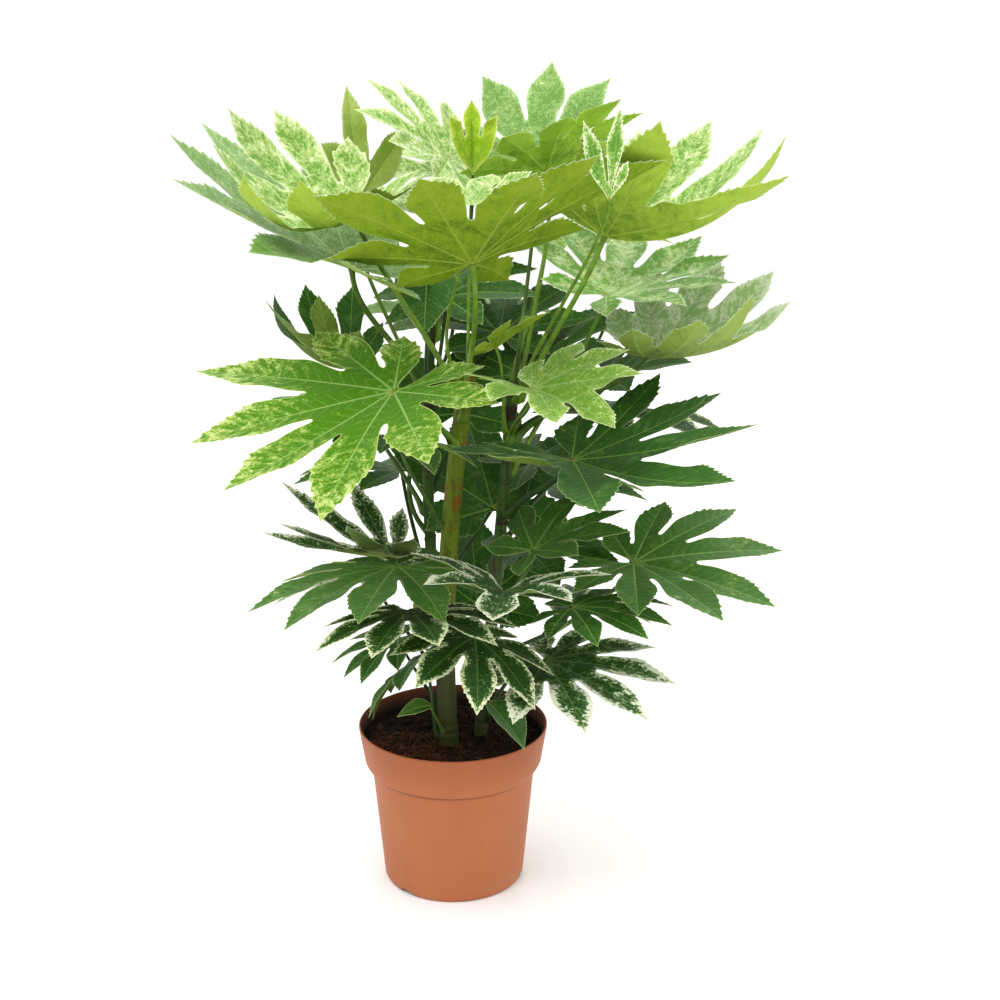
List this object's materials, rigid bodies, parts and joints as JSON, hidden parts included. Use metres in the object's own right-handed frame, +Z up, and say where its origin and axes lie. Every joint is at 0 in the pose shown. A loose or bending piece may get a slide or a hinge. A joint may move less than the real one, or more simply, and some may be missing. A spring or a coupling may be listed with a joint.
{
  "type": "potted fatsia plant",
  "caption": "Bushy variegated house plant with hand-shaped lobed leaves on upright green stems, in a tapered round nursery pot.",
  "frame": {"origin": "middle of the plant's box, at the level that the pot stands on", "axes": "+Z up along the stems, +X to the right and +Y away from the viewer of the pictured side"},
  "size_m": [0.721, 0.7452, 1.0175],
  "materials": {
    "pot": "matte",
    "soil": "matte",
    "stem": "satin",
    "leaf_pale": "satin",
    "leaf_bright": "satin",
    "leaf_green": "satin",
    "leaf_dark": "satin",
    "leaf_edged": "satin"
  },
  "bodies": {
    "root": {"pot": "pot", "soil": "soil", "stem_1": "stem", "stem_2": "stem", "stem_3": "stem", "leaf_top_01": "leaf_green", "leaf_top_02": "leaf_pale", "leaf_top_03": "leaf_bright", "leaf_top_04": "leaf_pale", "leaf_top_05": "leaf_pale", "leaf_top_06": "leaf_green", "leaf_top_07": "leaf_bright", "leaf_top_08": "leaf_green", "leaf_top_09": "leaf_pale", "leaf_top_10": "leaf_bright", "leaf_top_11": "leaf_bright", "leaf_top_12": "leaf_pale", "leaf_top_13": "leaf_pale", "leaf_upper_1": "leaf_dark", "leaf_upper_2": "leaf_dark", "leaf_upper_3": "leaf_dark", "leaf_upper_4": "leaf_dark", "leaf_upper_5": "leaf_bright", "leaf_upper_6": "leaf_dark", "leaf_upper_7": "leaf_green", "leaf_middle_1": "leaf_bright", "leaf_middle_2": "leaf_bright", "leaf_middle_3": "leaf_dark", "leaf_middle_4": "leaf_dark", "leaf_middle_5": "leaf_dark", "leaf_middle_6": "leaf_edged", "leaf_middle_7": "leaf_green", "leaf_middle_8": "leaf_dark", "leaf_low_1": "leaf_edged", "leaf_low_2": "leaf_edged", "leaf_low_3": "leaf_edged", "leaf_low_4": "leaf_dark", "leaf_low_5": "leaf_edged", "leaf_low_6": "leaf_dark", "leaf_low_7": "leaf_green", "leaf_low_8": "leaf_dark", "leaf_inner_1": "leaf_dark", "leaf_inner_2": "leaf_dark", "leaf_inner_3": "leaf_dark", "leaf_inner_4": "leaf_dark", "leaf_inner_5": "leaf_dark", "leaf_inner_6": "leaf_dark", "leaf_inner_7": "leaf_dark", "leaf_back_01": "leaf_pale", "leaf_back_02": "leaf_bright", "leaf_back_03": "leaf_green", "leaf_back_04": "leaf_green", "leaf_back_05": "leaf_edged", "leaf_back_06": "leaf_dark", "leaf_back_07": "leaf_dark", "leaf_back_08": "leaf_edged", "leaf_back_09": "leaf_dark", "leaf_back_10": "leaf_edged", "leaf_back_11": "leaf_bright", "leaf_back_12": "leaf_green"}
  },
  "joints": []
}
